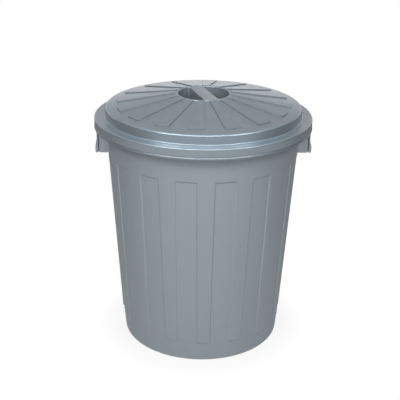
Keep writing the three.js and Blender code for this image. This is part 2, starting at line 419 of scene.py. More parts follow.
@dataclass(frozen=True)
class PanelRing:
    """A ring of equal panels, each keeping its own width in millimetres at every radius.

    Attributes:
        phase: Turn of the first panel, as a share of the pitch.
        slope: Width of a side wall.
        sink_r: How far a panel lies nearer the axis.
        sink_z: How far it lies lower.
        land_steps: Columns over half the land between two panels.
        floor_steps: Columns over a panel.
        guard: Distance of the columns that stand by a wall.
        inset: How much narrower the panels are on each side.
    """

    count: int
    phase: float
    inner_radius: float
    outer_radius: float
    inner_width: float
    outer_width: float
    slope: float
    sink_r: float
    sink_z: float
    land_steps: int = 4
    floor_steps: int = 6
    wall: Wall = SOFT_WALL
    guard: float = 0.3
    inset: float = 0.0

    def columns(self, r: float) -> list[tuple[float, float, float]]:
        """The columns of one period at a radius.

        Args:
            r: Radius in millimetres.

        Returns:
            Angle from the panel's middle, share of the depth and the painted-shade mark of the panel's wall.
        """
        at = min(max(r, self.inner_radius), self.outer_radius)
        t = (at - self.inner_radius) / (self.outer_radius - self.inner_radius)
        reach = lerp(self.inner_width, self.outer_width, t) / 2.0 - self.inset
        foot = reach - self.slope

        def angle(side: float) -> float:
            """Angle of a point that far to the side of the panel's middle."""
            return math.asin(side / at)

        pitch_half = math.pi / self.count
        floor_half = self.floor_steps // 2
        right = [
            (angle((foot - self.guard) * step / (floor_half - 1)), 1.0, 0.0) for step in range(1, floor_half)]
        right += [
            (angle(lerp(foot, reach, share)), 1.0 - self.wall.rise(share), 1.0) for share in self.wall.steps()]
        start = angle(reach + self.guard)
        right += [
            (lerp(start, pitch_half, step / self.land_steps), 0.0, 0.0) for step in range(self.land_steps)]
        left = [(-turn, share, mark) for turn, share, mark in reversed(right)]
        return [(-pitch_half, 0.0, 0.0), *left, (0.0, 1.0, 0.0), *right]

    def ring(self, point: Corner) -> tuple[list[Point], list[float]]:
        """One ring of points, counted round from the middle of the first panel.

        Args:
            point: The profile's point.

        Returns:
            The points in millimetres and the painted-shade mark of each, which is 1 on a panel's wall.
        """
        out: list[Point] = []
        marks: list[float] = []
        pitch = 2.0 * math.pi / self.count
        for period in range(self.count):
            for angle, share, mark in self.columns(point.r):
                turn = angle + (period + self.phase) * pitch
                depth = share * point.sunk
                radius = point.r - depth * self.sink_r
                out.append((radius * math.sin(turn), -radius * math.cos(turn), point.z - depth * self.sink_z))
                # The painted-shade mark: full on a panel's wall, and on the end walls as the profile gives it.
                marks.append(max(mark * min(1.0, 2.0 * point.sunk), point.edge * share))
        return out, marks


def panel_run(
    first: float, last: float, slope: float, wall: Wall, line: Callable[[float], Corner], middle: Sequence[float],
    closed: bool = True,
) -> list[Corner]:
    """Profile points over a panelled stretch with its end walls.

    Args:
        first: Where the first end wall starts, in the line's own parameter.
        last: Where the last end wall ends.
        slope: Width of each end wall.
        wall: Section of the end walls.
        line: Gives the profile point at a parameter.
        middle: Shares of the stretch between the walls that get points.
        closed: The stretch starts with an end wall too.

    Returns:
        The profile points.
    """
    way = math.copysign(slope, last - first)
    rises = [(first + way * share, wall.rise(share), 1.0) for share in wall.steps()] if closed else []
    flats = [(lerp(first + way, last - way, share), 1.0, 0.0) for share in middle]
    falls = [(last - way + way * share, 1.0 - wall.rise(share), 1.0) for share in wall.steps()]
    return [replace(line(at), sunk=sunk, edge=edge) for at, sunk, edge in (*rises, *flats, *falls)]


class Shell:
    """Collects one moulded piece as points in millimetres and faces."""

    def __init__(self) -> None:
        """Starts an empty shell."""
        self.points: list[Point] = []
        self.marks: list[float] = []
        self.faces: list[tuple[int, ...]] = []

    def ring(self, points: Iterable[Point], marks: Iterable[float] = ()) -> list[int]:
        """Adds points.

        Args:
            points: The points in millimetres.
            marks: How much painted shade each point takes, on a panel's wall or in a pocket; none gives 0 to all.

        Returns:
            Their indices.
        """
        first = len(self.points)
        self.points.extend(points)
        self.marks.extend(marks)
        self.marks.extend([0.0] * (len(self.points) - len(self.marks)))
        return list(range(first, len(self.points)))

    def loft(self, rings: Sequence[Sequence[int]]) -> None:
        """Adds quads between each closed ring and the next."""
        for a, b in zip(rings, rings[1:]):
            self.faces.extend((a[i - 1], a[i], b[i], b[i - 1]) for i in range(len(a)))

    def fan(self, ring: Sequence[int], centre: Point) -> None:
        """Adds triangles from a closed ring to a point."""
        (middle,) = self.ring([centre])
        self.faces.extend((ring[i - 1], ring[i], middle) for i in range(len(ring)))

    def fill(self, loops: Sequence[Sequence[int]]) -> None:
        """Adds triangles over a flat outline with holes.

        Args:
            loops: The outline and then its holes.
        """
        flat = [[Vector(self.points[i]) for i in loop] for loop in loops]
        order = [i for loop in loops for i in loop]
        for triangle in tessellate_polygon(flat):
            self.faces.append(tuple(order[i] for i in triangle))

    def column(self, name: str, rings: Sequence[Sequence[int]]) -> bpy.types.Object:
        """Lofts rings, closes both ends and turns the shell into an object.

        Args:
            name: Name of the object.
            rings: The rings in order.

        Returns:
            The new object.
        """
        self.loft(rings)
        self.fill([rings[0]])
        self.fill([rings[-1]])
        return self.solid(name)

    def solid(self, name: str) -> bpy.types.Object:
        """Turns the shell into an object.

        Args:
            name: Name of the object.

        Returns:
            The new object, cleaned and without a finish.
        """
        mesh = bpy.data.meshes.new(name)
        mesh.from_pydata([tuple(c * MM for c in p) for p in self.points], [], self.faces)
        # The painted-shade marks go to the mesh as an attribute that the lid's material darkens by.
        mesh.attributes.new(SHADE_MARK, "FLOAT", "POINT").data.foreach_set("value", self.marks)
        made = add_object(name, mesh)
        clean(made)
        return made


def add_object(name: str, data: bpy.types.ID) -> bpy.types.Object:
    """Adds an object to the scene.

    Args:
        name: Its name.
        data: Its mesh, light or camera.

    Returns:
        The new object.
    """
    made = bpy.data.objects.new(name, data)
    bpy.context.scene.collection.objects.link(made)
    return made


def clean(made: bpy.types.Object, merge: float = 0.00002, sharp_degrees: float = 40.0) -> None:
    """Joins doubled points, turns all faces outwards and shades them smooth.

    Args:
        made: The object.
        merge: Distance in metres up to which points are joined.
        sharp_degrees: Angle from which an edge stays sharp.
    """
    work = bmesh.new()
    work.from_mesh(made.data)
    bmesh.ops.remove_doubles(work, verts=work.verts, dist=merge)
    bmesh.ops.dissolve_degenerate(work, edges=work.edges, dist=merge / 4)
    bmesh.ops.recalc_face_normals(work, faces=work.faces)
    work.to_mesh(made.data)
    work.free()
    made.data.shade_smooth()
    made.data.set_sharp_from_angle(angle=math.radians(sharp_degrees))


def dress(made: bpy.types.Object, material: bpy.types.Material, body: Body) -> None:
    """Makes an object a piece of the model and reports it.

    Args:
        made: The object.
        material: Its finish.
        body: The body that it rides on.
    """
    made.data.materials.clear()
    made.data.materials.append(material)
    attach(made, body.value)
    log.info("%s: %d faces", made.name, len(made.data.polygons))


def join(body: bpy.types.Object, other: bpy.types.Object, operation: str) -> None:
    """Joins or cuts one object by another, and removes the other.

    Args:
        body: The object to change.
        other: The object to join or to cut by.
        operation: UNION or DIFFERENCE.
    """
    change = body.modifiers.new("join", "BOOLEAN")
    change.operation = operation
    change.solver = "EXACT"
    change.object = other
    graph = bpy.context.evaluated_depsgraph_get()
    mesh = bpy.data.meshes.new_from_object(body.evaluated_get(graph))
    body.modifiers.clear()
    body.data = mesh
    bpy.data.objects.remove(other)
    work = bmesh.new()
    work.from_mesh(mesh)
    open_edges = sum(1 for edge in work.edges if not edge.is_manifold)
    work.free()
    if open_edges:
        log.error("%s: %d open edges after a join", body.name, open_edges)


@dataclass(frozen=True)
class Tub:
    """The tapered tub: floor, foot ring, fluted wall and turned-over rim. Sizes in millimetres.

    The margins are how far the plain profiles end from the flutes' ends.
    """

    base_radius: float = 168.3
    foot_band_height: float = 44.8
    foot_band_flare: float = 5.9
    foot_margin: float = 6.0
    flute_length: float = 365.0
    flute_flare: float = 22.4
    collar_height: float = 73.5
    collar_margin: float = 3.0
    wall: float = 2.6
    floor_lift: float = 4.0
    floor_hub: float = 20.0
    floor_round: float = 9.0
    floor_round_steps: int = 8
    foot_ring_width: float = 15.0
    foot_round: float = 3.0
    foot_inner_round: float = 1.0
    foot_root_round: float = 1.5
    flute_depth: float = 2.0
    flute_width: float = 44.4
    flute_slope: float = 2.4
    flute_count: int = 16
    flute_phase: float = 0.5
    flute_rings: tuple[float, ...] = (0.005, 0.2, 0.4, 0.6, 0.8, 0.995)
    rim_reach: float = 16.4
    rim_wall: float = 2.4
    rim_skirt_drop: float = 15.3
    rim_round: float = 2.0
    skirt_inner_round: float = 0.7
    skirt_outer_round: float = 0.9

    @property
    def rib_foot_radius(self) -> float:
        """Outer radius at the lower end of the ribs."""
        return self.base_radius + self.foot_band_flare

    @property
    def rib_top_radius(self) -> float:
        """Outer radius at the upper end of the flutes."""
        return self.rib_foot_radius + self.flute_flare

    @property
    def rib_top_height(self) -> float:
        """Height of the upper end of the flutes."""
        return self.foot_band_height + self.flute_length

    @property
    def flute_start(self) -> float:
        """Height at which the flutes' lower end walls start."""
        return self.foot_band_height - self.flute_slope

    @property
    def rim_top(self) -> float:
        """Height of the rim."""
        return self.rib_top_height + self.collar_height

    @property
    def rim_radius(self) -> float:
        """Outer radius of the rim."""
        return self.rib_face(self.rim_top) + self.rim_reach

    def rib_face(self, z: float) -> float:
        """Radius of the ribs' outer face at a height."""
        return lerp(self.rib_foot_radius, self.rib_top_radius, (z - self.foot_band_height) / self.flute_length)

    def band_face(self, z: float) -> float:
        """Radius of the plain foot band at a height."""
        return lerp(self.base_radius, self.rib_foot_radius - self.flute_depth, z / self.foot_band_height)

    def outside(self, z: float) -> Corner:
        """Outer profile point of the wall, from the foot band over the ribs' ends.

        Args:
            z: Height.

        Returns:
            The point.
        """
        if z < self.flute_start:
            return Corner(self.band_face(z), z)
        if z < self.foot_band_height:
            rise = SOFT_WALL.rise((z - self.flute_start) / self.flute_slope)
            return Corner(lerp(self.band_face(self.flute_start), self.rib_foot_radius, rise), z)
        return Corner(self.rib_face(z), z)

    def flute_stretch(self, inset: float) -> list[Corner]:
        """Wall points from the foot band to the collar.

        Args:
            inset: How far the face lies inside the outer one.

        Returns:
            The profile points.
        """
        def line(z: float) -> Corner:
            """Point of the face at a height."""
            at = self.outside(z)
            return Corner(at.r - inset, at.z)

        return panel_run(
            self.flute_start, self.rib_top_height, self.flute_slope, SOFT_WALL, line, self.flute_rings)

    def profile(self) -> list[Corner]:
        """The closed profile from the middle of the underside, outside and rim, to the inside floor.

        Returns:
            The profile points.
        """
        def inner(r: float) -> float:
            """Radius of the inner face behind an outer one."""
            return r - self.wall

        ring_inner = self.base_radius - self.foot_round - self.foot_ring_width
        under = self.rim_top - self.rim_wall
        skirt = self.rim_top - self.rim_skirt_drop
        floor_top = self.floor_lift + self.wall
        low = self.foot_band_height - self.foot_margin
        high = self.rib_top_height + self.collar_margin
        rim = self.rim_radius
        foot = Profile((
            Corner(self.floor_hub, self.floor_lift),
            Corner(ring_inner, self.floor_lift, self.foot_root_round),
            Corner(ring_inner + self.floor_lift / 2, 0.0, self.foot_inner_round),
            Corner(self.base_radius, 0.0, self.foot_round),
            Corner(self.band_face(low), low),
        ))
        edge = Profile((
            Corner(self.rib_face(high), high),
            Corner(self.rib_face(under), under, self.rim_round),
            Corner(rim - self.rim_wall, under, self.rim_round),
            Corner(rim - self.rim_wall, skirt, self.skirt_inner_round),
            Corner(rim, skirt, self.skirt_outer_round),
            Corner(rim, self.rim_top, self.rim_round),
            Corner(inner(self.rib_face(self.rim_top)), self.rim_top, self.rim_round),
            Corner(inner(self.rib_face(high)), high),
        ))
        inside = Profile((
            Corner(inner(self.band_face(low)), low),
            Corner(inner(self.band_face(floor_top)), floor_top, self.floor_round),
            Corner(self.floor_hub, floor_top),
        ), steps=self.floor_round_steps)
        outer, back = self.flute_stretch(0.0), self.flute_stretch(self.wall)[::-1]
        return foot.points() + outer + edge.points() + back + inside.points()

    def build(self, material: bpy.types.Material) -> None:
        """Builds the tub's shell in place of its plain solid.

        Args:
            material: Its finish.
        """
        ring = PanelRing(
            self.flute_count, self.flute_phase, self.rib_foot_radius - self.wall, self.rib_top_radius,
            self.flute_width, self.flute_width, self.flute_slope, sink_r=self.flute_depth, sink_z=0.0)
        shell = Shell()
        rings = [shell.ring(*ring.ring(point)) for point in self.profile()]
        shell.loft(rings)
        shell.fan(rings[0], (0.0, 0.0, self.floor_lift))
        shell.fan(rings[-1], (0.0, 0.0, self.floor_lift + self.wall))
        made = shell.solid("tub_shell")
        dress(made, material, Body.TUB)
        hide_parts("tub")


@dataclass(frozen=True)
class HandGrip:
    """A hand grip under the rim: shelf, two end plates and a bowed lip. Sizes in millimetres.

    Attributes:
        edge: Size of the softened edges.
        join_step: How far the shelf stands back, so that no two faces of the union coincide.
        core_sides: Sides of the round that the grip is cut by.
        core_margin: How far that round reaches past the grip.
    """

    tub: Tub
    top: float = 463.4
    height: float = 45.4
    width: float = 98.0
    wall: float = 2.4
    lip_wall: float = 2.2
    lip_bow: float = 1.2
    lip_flare: float = 3.3
    flare_rise: float = 9.0
    waist_rise: float = 29.0
    edge_round: float = 1.4
    crown_round: float = 1.5
    slot_width: float = 2.5
    slot_depth: float = 6.0
    edge: float = 0.5
    edge_steps: int = 3
    face_steps: int = 10
    flare_steps: int = 6
    waist_steps: int = 12
    crown_steps: int = 4
    bow_steps: int = 12
    join_step: float = 0.13
    core_sides: int = 384
    core_margin: float = 5.0

    @property
    def bottom(self) -> float:
        """Height of the lower edge."""
        return self.top - self.height

    @property
    def inner_face(self) -> float:
        """Distance of the lip's inner face from the axis at its ends."""
        return self.tub.rim_radius - self.lip_bow - self.lip_wall

    def lip_section(self) -> list[tuple[float, float]]:
        """The lip's section, counted round.

        Returns:
            Its points as (x, z).
        """
        inner = self.inner_face
        outer = inner + self.lip_wall
        flare = outer + self.lip_flare
        start = flare - self.edge_round
        low, high = self.bottom + self.flare_rise, self.bottom + self.waist_rise
        swing = lerp(low, high, 0.5)
        neck = self.top - self.crown_round
        out = [
            (inner, lerp(self.top - self.edge, self.bottom + self.edge, t)) for t in shares(0, self.face_steps)]
        out.append((inner + self.edge, self.bottom))
        out += [
            (lerp(lerp(start, flare, t), flare, t), lerp(self.bottom, lerp(self.bottom, low, t), t))
            for t in shares(0, self.flare_steps)]
        for t in shares(1, self.waist_steps):
            x = flare * (1 - t) ** 2 * (1 + 2 * t) + outer * t * t * (3 - 2 * t)
            out.append((x, low * (1 - t) ** 3 + 3 * swing * t * (1 - t) + high * t ** 3))
        out += [(outer, lerp(high, neck, t)) for t in shares(1, self.crown_steps)]
        for t in shares(1, self.crown_steps):
            x = outer - self.crown_round + self.crown_round * math.cos(QUARTER * t)
            out.append((x, neck + self.crown_round * math.sin(QUARTER * t)))
        out.append((inner + self.edge, self.top))
        return out

    def lip(self) -> bpy.types.Object:
        """The lip as a loft of its section across the grip, with rounded ends.

        Returns:
            The scratch object.
        """
        shell = Shell()
        section = self.lip_section()
        middle_x = sum(x for x, _ in section) / len(section)
        middle_z = sum(z for _, z in section) / len(section)
        half = self.width / 2
        turns = [QUARTER * t for t in shares(0, self.edge_steps)[:-1]]
        ends = [(half - self.edge * (1 - math.cos(t)), self.edge * (1 - math.sin(t))) for t in turns]
        stations = [*ends]
        stations += [(lerp(half - self.edge, self.edge - half, t), 0.0) for t in shares(0, self.bow_steps)]
        stations += [(-y, inset) for y, inset in reversed(ends)]
        rings = []
        for y, inset in stations:
            bow = self.lip_bow * (1 - (y / half) ** 2)
            ring = []
            for x, z in section:
                dx, dz = middle_x - x, middle_z - z
                share = inset / math.hypot(dx, dz)
                ring.append((x + bow + dx * share, y, z + dz * share))
            rings.append(shell.ring(ring))
        return shell.column("lip", rings)

    def plate(self, name: str, outline: list[tuple[float, float]], low: float, high: float) -> bpy.types.Object:
        """An upright plate with softened edges.

        Args:
            name: Name of the scratch object.
            outline: Its outline as (x, y).
            low: Height of its lower face.
            high: Height of its upper face.

        Returns:
            The scratch object.
        """
        work = bmesh.new()
        rings = [[work.verts.new(Vector((x, y, z)) * MM) for x, y in outline] for z in (low, high)]
        for ring in rings:
            work.faces.new(ring)
        for i in range(len(outline)):
            work.faces.new((rings[0][i - 1], rings[0][i], rings[1][i], rings[1][i - 1]))
        bmesh.ops.recalc_face_normals(work, faces=work.faces)
        bmesh.ops.bevel(
            work, geom=list(work.edges), offset=self.edge * MM, segments=self.edge_steps, profile=0.5,
            affect="EDGES", clamp_overlap=True)
        mesh = bpy.data.meshes.new(name)
        work.to_mesh(mesh)
        work.free()
        return add_object(name, mesh)

    def build(self, name: str, turned: bool, material: bpy.types.Material) -> None:
        """Builds one grip.

        Args:
            name: Name of the piece.
            turned: The grip is the one on the -X side.
            material: Its finish.
        """
        half = self.width / 2
        inside = self.tub.rib_top_radius - half
        middle = self.inner_face + self.lip_wall / 2
        slot_inner = self.inner_face - self.slot_width
        back = half - self.slot_depth
        body = self.lip()
        start, end, reach = inside + self.join_step, middle + self.join_step, half - self.join_step
        shelf = [(start, -reach), (end, -reach), (end, reach), (start, reach)]
        side = [
            (inside, half), (slot_inner, half), (slot_inner, back), (middle, back),
            (middle, back - self.wall), (slot_inner - self.wall, back - self.wall),
            (slot_inner - self.wall, half - self.wall), (inside, half - self.wall)]
        join(body, self.plate("shelf", shelf, self.top - self.wall, self.top), "UNION")
        for sign in (-1, 1):
            outline = [(x, y * sign) for x, y in side]
            join(body, self.plate("side", outline, self.bottom, self.top - self.wall / 2), "UNION")
        join(body, self.core(), "DIFFERENCE")
        if turned:
            body.data.transform(Matrix.Rotation(math.pi, 4, "Z"))
        body.name = body.data.name = name
        clean(body)
        dress(body, material, Body.TUB)

    def core(self) -> bpy.types.Object:
        """The inside of the tub up to the middle of its wall, which the grip is cut by.

        Returns:
            The scratch object.
        """
        shell = Shell()
        rings = []
        for z in (self.bottom - self.core_margin, self.top + self.core_margin):
            r = self.tub.rib_face(z) - self.tub.wall / 2
            rings.append(shell.ring((x, y, z) for x, y in arc(0.0, 0.0, r, 0.0, 2 * math.pi, self.core_sides)))
        return shell.column("core", rings)


@dataclass(frozen=True)
class Lid:
    """The lid: flange and band, plateau, panelled cone, grip well and bar. Sizes in millimetres.

    Attributes:
        plateau_bulge: How far the plateau's wall stands out between its shoulder and its foot.
        bulge_share: Share of the way down at which it stands out most.
        panel_inset: How much smaller the panels are on the lower face.
        panel_start: Distance from the panels' inner end at which they have their full rise.
        lip_run: Distance from the lip at which the cone starts.
        lip_run_end: Distance from the panels' inner end at which its first stretch ends.
        pocket_sides: Steps of a pocket's straight side, of a corner and of its round side.
        pocket_painted_shade: Mark of the painted shade that darkens a pocket towards its floor, at the depth at
            which it is full.
        painted_shade_depth: That depth.
    """

    tub: Tub
    wall: float = 2.4
    clearance: float = 3.3
    seat_gap: float = 0.3
    flange_width: float = 22.9
    flange_round: float = 3.0
    band_drop: float = 19.0
    band_edge_round: float = 0.8
    bead_reach: float = 0.45
    bead_bottom: float = 0.2
    bead_top: float = 2.4
    bead_round: float = 0.6
    bead_edge_round: float = 0.5
    groove_depth: float = 0.45
    groove_height: float = 4.2
    groove_slope: float = 2.8
    groove_round: float = 2.0
    plateau_draft: float = 0.6
    plateau_foot_round: float = 2.0
    plateau_foot_spread: float = 2.2
    plateau_bulge: float = 0.15
    bulge_round: float = 5.0
    bulge_share: float = 0.6
    foot_inner_round: float = 2.5
    shoulder_height: float = 21.0
    shoulder_round: float = 2.8
    shoulder_inner_round: float = 2.4
    cone_rise: float = 23.9
    turn_degrees: float = 16.3
    panel_count: int = 16
    panel_rise: float = 1.8
    panel_slope: float = 0.2
    panel_inset: float = 1.6
    panel_start: float = 4.5
    panel_margin: float = 1.0
    panel_inner_margin: float = 4.6
    panel_outer_margin: float = 20.7
    panel_inner_width: float = 14.5
    panel_outer_width: float = 32.0
    panel_rings: tuple[float, ...] = (0.01, 0.25, 0.5, 0.75, 0.99)
    hollow_rings: tuple[float, ...] = (0.01, 0.5, 0.99)
    well_radius: float = 52.6
    well_draft: float = 2.0
    well_depth: float = 38.0
    well_neck: float = 1.0
    well_neck_steps: int = 3
    well_lip_width: float = 4.8
    well_lip_rise: float = 1.1
    well_lip_round: float = 1.2
    lip_land: float = 2.4
    lip_slope: float = 0.5
    lip_crown_round: float = 0.9
    lip_foot_round: float = 0.3
    lip_round_steps: int = 5
    lip_run: float = 1.5
    lip_run_end: float = 4.0
    lip_rings: tuple[float, ...] = (0.0, 0.3, 0.6, 1.0)
    bar_width: float = 28.9
    bar_draft: float = 2.1
    pocket_sides: tuple[int, int, int] = (12, 7, 48)
    pocket_corner: float = 3.5
    pocket_under_round: float = 1.0
    pocket_floor_round: float = 2.5
    pocket_floor_growth: float = 0.6
    pocket_round_steps: int = 5
    pocket_guard: float = 0.7
    pocket_painted_shade: float = 1.2
    painted_shade_depth: float = 12.0

    @property
    def seat(self) -> float:
        """Height of the face that rests on the rim."""
        return self.tub.rim_top + self.seat_gap

    @property
    def band_radius(self) -> float:
        """Outer radius of the band."""
        return self.tub.rim_radius + self.clearance + self.wall

    @property
    def plateau_radius(self) -> float:
        """Radius at which the plateau's wall would meet the flange without its spread."""
        return self.band_radius - self.flange_width

    @property
    def shoulder_radius(self) -> float:
        """Radius of the plateau's shoulder before it is rounded."""
        return self.plateau_radius - self.plateau_draft

    @property
    def cone_top_radius(self) -> float:
        """Radius at which the cone meets the lip of the well."""
        return self.well_radius + self.well_lip_width

    @property
    def lip_top(self) -> float:
        """Height of the well's lip and the bar above the seat."""
        return self.shoulder_height + self.cone_rise + self.well_lip_rise

    def cone(self, r: float) -> Corner:
        """Point of the cone's upper face."""
        share = (self.shoulder_radius - r) / (self.shoulder_radius - self.cone_top_radius)
        return Corner(r, self.shoulder_height + self.cone_rise * share)

    def below(self, r: float) -> Corner:
        """Point of the cone's lower face."""
        return Corner(r, self.cone(r).z - self.wall)

    def panels(self) -> tuple[float, float]:
        """Radii between which the panels lie."""
        return self.cone_top_radius + self.panel_inner_margin, self.shoulder_radius - self.panel_outer_margin

    def flush(self, at: Corner) -> Corner:
        """A point by the lip, raised inside a panel up to the lip's level, and farther out by the full rise."""
        return replace(at, sunk=max(0.0, min(1.0, (self.lip_top - at.z) / self.panel_rise)))

    def upper(self) -> list[Corner]:
        """The upper face from the lip of the well out over the shoulder, flange and band, and its edge.

        Returns:
            The profile points.
        """
        inner, outer = self.panels()
        top = self.cone_top_radius
        lip = Profile((
            Corner(top - self.lip_land, self.lip_top),
            Corner(top - self.lip_slope, self.lip_top, self.lip_crown_round),
            Corner(top, self.lip_top - self.well_lip_rise, self.lip_foot_round),
            self.cone(top + self.lip_run),
        ), steps=self.lip_round_steps).points()[:-1]
        lip += [self.cone(lerp(top + self.lip_run, inner + self.lip_run_end, t)) for t in self.lip_rings]
        panels = panel_run(
            inner + self.panel_start, outer, self.panel_slope, CRISP_WALL, self.cone, self.panel_rings, False)
        foot = self.plateau_radius + self.plateau_foot_spread
        bulge = lerp(self.shoulder_radius, foot, 0.5) + self.plateau_bulge
        band = self.band_radius
        low = -self.band_drop
        edge = Profile((
            self.cone(outer + self.panel_margin),
            Corner(self.shoulder_radius, self.shoulder_height, self.shoulder_round),
            Corner(bulge, lerp(self.shoulder_height, self.wall, self.bulge_share), self.bulge_round),
            Corner(foot, self.wall, self.plateau_foot_round),
            Corner(band, self.wall, self.flange_round),
            Corner(band, low + self.groove_height + self.groove_slope, self.groove_round),
            Corner(band - self.groove_depth, low + self.groove_height, self.bead_round),
            Corner(band + self.bead_reach, low + self.bead_top, self.bead_round),
            Corner(band + self.bead_reach, low + self.bead_bottom, self.bead_edge_round),
            Corner(band - self.wall, low, self.band_edge_round),
            Corner(band - self.wall, 0.0, self.flange_round - self.wall),
            Corner(self.plateau_radius - self.wall, 0.0, self.foot_inner_round),
            Corner(self.shoulder_radius - self.wall, self.shoulder_height - self.wall, self.shoulder_inner_round),
            self.below(outer + self.panel_margin),
        )).points()
        return [self.flush(at) for at in lip] + panels + edge

    def lower(self) -> list[Corner]:
        """The lower face from the shoulder back to the well.

        Returns:
            The profile points.
        """
        inner, outer = self.panels()
        inner, outer = inner + self.panel_inset, outer - self.panel_inset
        neck, top = self.well_radius + self.wall, self.lip_top - self.wall
        run = panel_run(outer, inner, self.panel_slope, CRISP_WALL, self.below, self.hollow_rings)
        end = Profile((
            self.below(inner - self.panel_margin),
            Corner(neck + 2 * self.well_neck, top, self.well_neck),
            Corner(neck + self.well_neck, top),
        ), steps=self.well_neck_steps)
        return run + end.points()

    def pocket_outline(self, radius: float, half_bar: float, corner: float, z: float, side: int) -> list[Point]:
        """The D-shaped outline of a finger pocket, counted round.

        Args:
            radius: Radius of its round side.
            half_bar: Distance of its straight side from the axis.
            corner: Radius of its two corners.
            z: Height.
            side: 1 or -1, for the side of the bar.

        Returns:
            The points in the lid's own frame, with the bar along Y.
        """
        middle = half_bar + corner
        y = math.sqrt((radius - corner) ** 2 - middle ** 2)
        turn = math.atan2(y, middle)
        straight, bend, bow = self.pocket_sides
        out = [(half_bar, lerp(-y, y, t)) for t in shares(0, straight)[:-1]]
        out += arc(middle, y, corner, math.pi, turn, bend)
        out += arc(0.0, 0.0, radius, turn, -turn, bow)
        out += arc(middle, -y, corner, -turn, -math.pi, bend)
        return [(side * x, v, z) for x, v in out]

    def pocket(self, shell: Shell, side: int, skin: float, thicker: float) -> list[int]:
        """Adds one face of a pocket, from its upper outline down to its floor.

        Args:
            shell: The lid's shell.
            side: 1 or -1, for the side of the bar.
            skin: Height of the flat that the pocket leaves.
            thicker: Distance of this face outside the pocket's inner face.

        Returns:
            The indices of the upper outline.
        """
        floor = self.lip_top - self.well_depth - thicker
        lip = self.pocket_under_round if thicker else self.well_lip_round
        bottom = self.pocket_floor_round + thicker * self.pocket_floor_growth
        rings: list[list[int]] = []

        def add(z: float, out: float) -> None:
            """Adds one outline.

            Args:
                z: Its height.
                out: How far it lies outside the pocket's wall.
            """
            depth = (self.lip_top - z) / self.well_depth
            radius = self.well_radius - self.well_draft * depth + thicker + out
            half = (self.bar_width + self.bar_draft * depth) / 2 - thicker - out
            outline = self.pocket_outline(radius, half, self.pocket_corner + thicker + out, z, side)
            # Painted shade that grows with the depth into the pocket.
            depth_shade = 0.0 if thicker else self.pocket_painted_shade * min(1.0, (skin - z) / self.painted_shade_depth)
            rings.append(shell.ring(outline, [depth_shade] * len(outline)))

        turns = [QUARTER * t for t in shares(0, self.pocket_round_steps)]
        for turn in turns:
            add(skin - lip * (1 - math.cos(turn)), lip * (1 - math.sin(turn)))
        add(skin - lip - self.pocket_guard, 0.0)
        add(lerp(skin, floor, 0.5), 0.0)
        add(floor + bottom + self.pocket_guard, 0.0)
        for turn in turns:
            add(floor + bottom * (1 - math.sin(turn)), -bottom * (1 - math.cos(turn)))
        add(floor, -bottom - self.pocket_guard)
        shell.loft(rings)
        shell.fill([rings[-1]])
        return rings[0]

    def build(self, material: bpy.types.Material) -> None:
        """Builds the lid's shell in place of its plain solid.

        Args:
            material: Its finish.
        """
        inner, outer = self.panels()
        ring = PanelRing(
            self.panel_count, 0.0, inner, outer, self.panel_inner_width, self.panel_outer_width,
            self.panel_slope, sink_r=0.0, sink_z=-self.panel_rise, wall=CRISP_WALL)
        hollow = replace(ring, inset=self.panel_inset)
        shell = Shell()
        rings = [shell.ring(*ring.ring(point)) for point in self.upper()]
        rings += [shell.ring(*hollow.ring(point)) for point in self.lower()]
        shell.loft(rings)
        for rim, thicker in ((rings[0], 0.0), (rings[-1], self.wall)):
            pockets = [self.pocket(shell, side, self.lip_top - thicker, thicker) for side in (1, -1)]
            shell.fill([rim, *pockets])
        turn = Matrix.Rotation(math.radians(self.turn_degrees), 3, "Z")
        shell.points = [tuple(turn @ Vector(p) + Vector((0.0, 0.0, self.seat))) for p in shell.points]
        made = shell.solid("lid_shell")
        dress(made, material, Body.LID)
        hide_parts("lid")


@dataclass(frozen=True)
class Softbox:
    """A soft area light that looks at the object. Angles in degrees, lengths in metres."""

    name: str
    azimuth: float
    elevation: float
    distance: float
    width: float
    height: float
    watts: float
    aim: float = 0.3

    def build(self) -> None:
        """Adds the light."""
        lamp = bpy.data.lights.new(self.name, "AREA")
        lamp.shape = "RECTANGLE"
        lamp.size, lamp.size_y, lamp.energy = self.width, self.height, self.watts
        made = add_object(self.name, lamp)
        a, e = math.radians(self.azimuth), math.radians(self.elevation)
        away = Vector((math.sin(a) * math.cos(e), -math.cos(a) * math.cos(e), math.sin(e)))
        made.location = Vector((0.0, 0.0, self.aim)) + away * self.distance
        made.rotation_euler = away.to_track_quat("Z", "Y").to_euler()


@dataclass(frozen=True)
class Camera:
    """The viewpoint of the photograph. Lengths in metres, azimuth in degrees, roll in radians."""

    distance: float = 1.6746
    height: float = 0.9951
    azimuth: float = -2.1
    aim_side: float = -0.0035
    aim_height: float = 0.2910
    roll: float = 0.0134
    focal_pixels: float = 846.16
    frame_pixels: float = 400.0
    sensor: float = 36.0
    right_pixels: float = 0.55
    down_pixels: float = 0.8

    def build(self) -> None:
        """Adds the camera and makes it the scene's own."""
        a = math.radians(self.azimuth)
        place = Vector((math.sin(a) * self.distance, -math.cos(a) * self.distance, self.height))
        side = Vector((math.cos(a), math.sin(a), 0.0))
        aim = side * self.aim_side + Vector((0.0, 0.0, self.aim_height))
        forward = (aim - place).normalized()
        right = forward.cross(Vector((0.0, 0.0, 1.0))).normalized()
        up = right.cross(forward)
        c, s = math.cos(self.roll), math.sin(self.roll)
        axes = (c * right + s * up, c * up - s * right, -forward)
        lens = bpy.data.cameras.new("camera")
        lens.sensor_width = self.sensor
        lens.lens = self.focal_pixels / self.frame_pixels * self.sensor
        lens.shift_x = -self.right_pixels / self.frame_pixels
        lens.shift_y = self.down_pixels / self.frame_pixels
        made = add_object("camera", lens)
        made.matrix_world = Matrix.Translation(place) @ Matrix(axes).transposed().to_4x4()
        bpy.context.scene.camera = made


